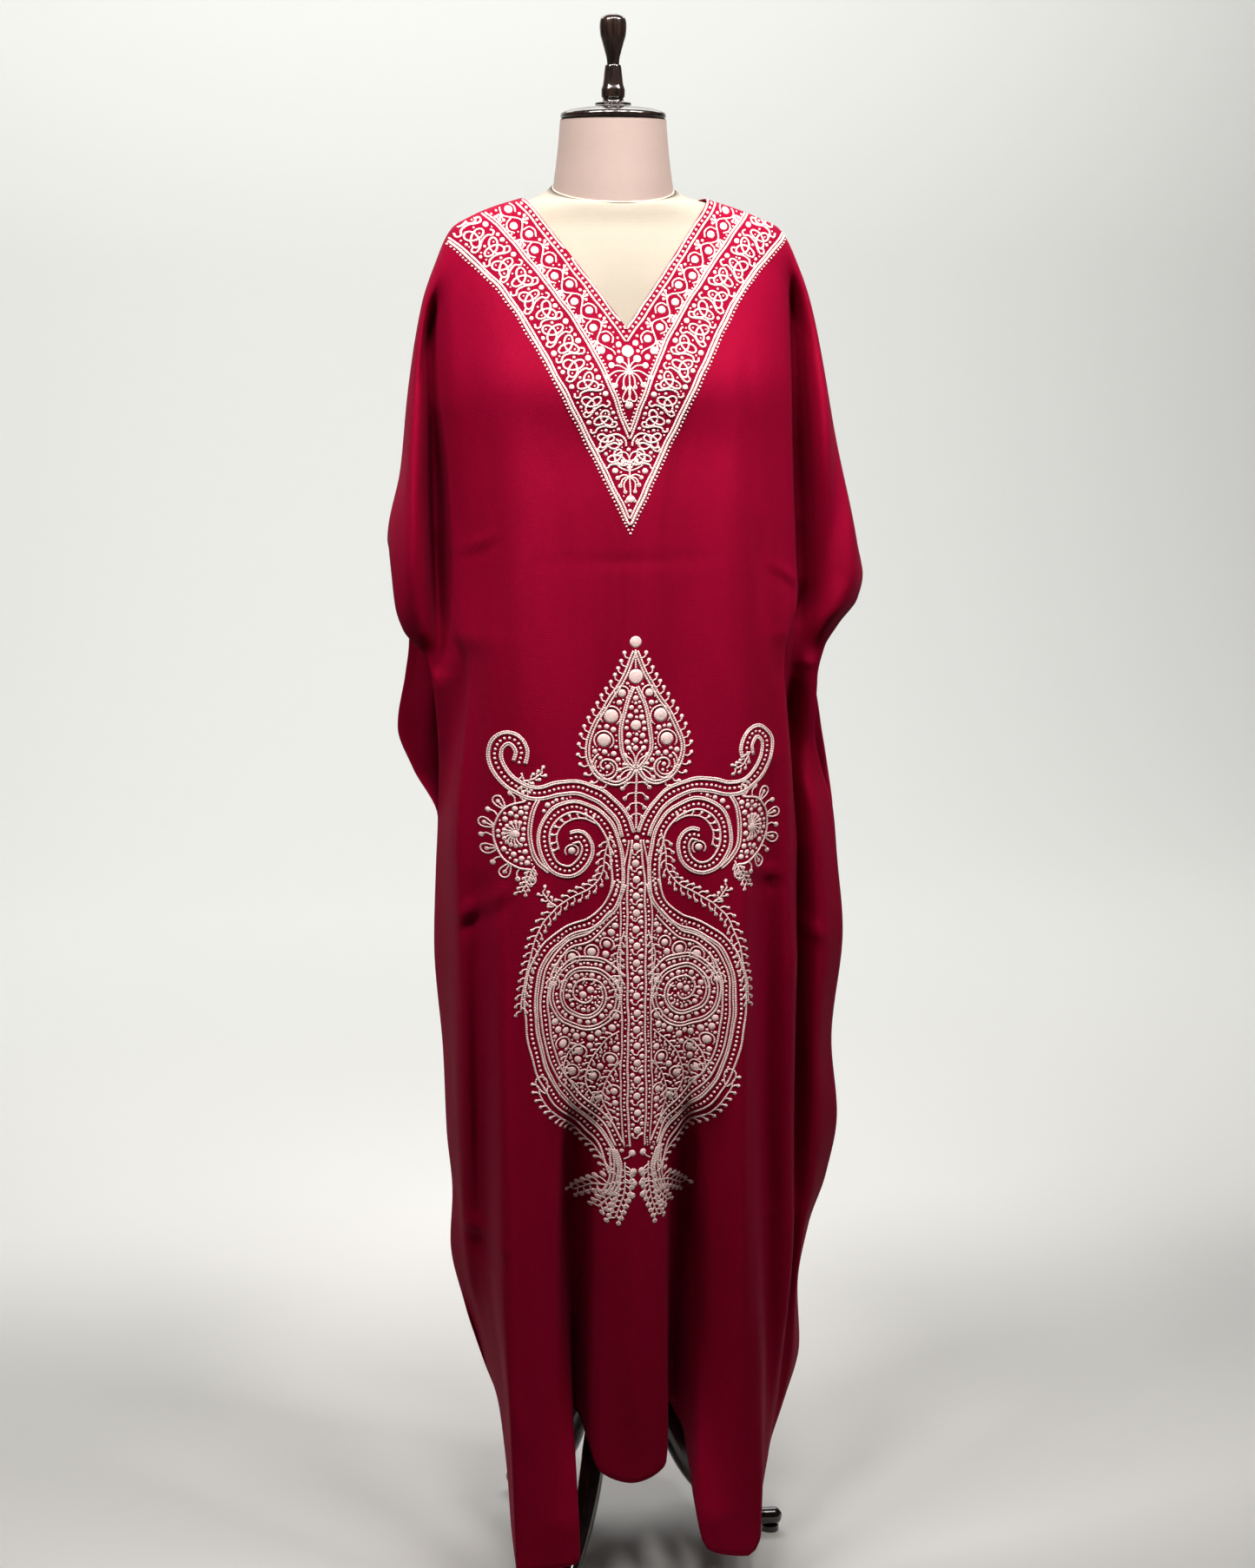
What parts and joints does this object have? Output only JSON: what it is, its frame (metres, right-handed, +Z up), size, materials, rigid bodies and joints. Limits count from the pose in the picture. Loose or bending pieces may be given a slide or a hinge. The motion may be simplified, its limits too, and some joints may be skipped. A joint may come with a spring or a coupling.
{
  "type": "long kaftan on a limbless dress form with a tripod stand",
  "caption": "Long loose V-neck kaftan with wide cut-on sleeves, hung in soft folds on a limbless bust with a turned finial and a curved three-legged pole stand.",
  "frame": {"origin": "middle of the bottom of the bounding box, on the floor under the stand", "axes": "+Z up along the pole, -Y is the garment's front, +X is the viewer's right when facing the front"},
  "size_m": [0.5466, 0.37, 1.8005],
  "materials": {
    "maroon_wool": "matt fine wool",
    "cream_jersey": "matt stretched jersey",
    "neck_jersey": "matt stretched jersey",
    "black_lacquer": "gloss black lacquer"
  },
  "bodies": {
    "root": {"kaftan_front": "maroon_wool", "kaftan_back": "maroon_wool", "form_bust": "cream_jersey", "form_neck": "neck_jersey", "neck_cap": "black_lacquer", "finial": "black_lacquer", "stand_base_plate": "black_lacquer", "stand_pole": "black_lacquer", "stand_hub": "black_lacquer", "stand_leg_1": "black_lacquer", "stand_leg_2": "black_lacquer", "stand_leg_3": "black_lacquer", "stand_foot_1": "black_lacquer", "stand_foot_2": "black_lacquer", "stand_foot_3": "black_lacquer"}
  },
  "joints": []
}
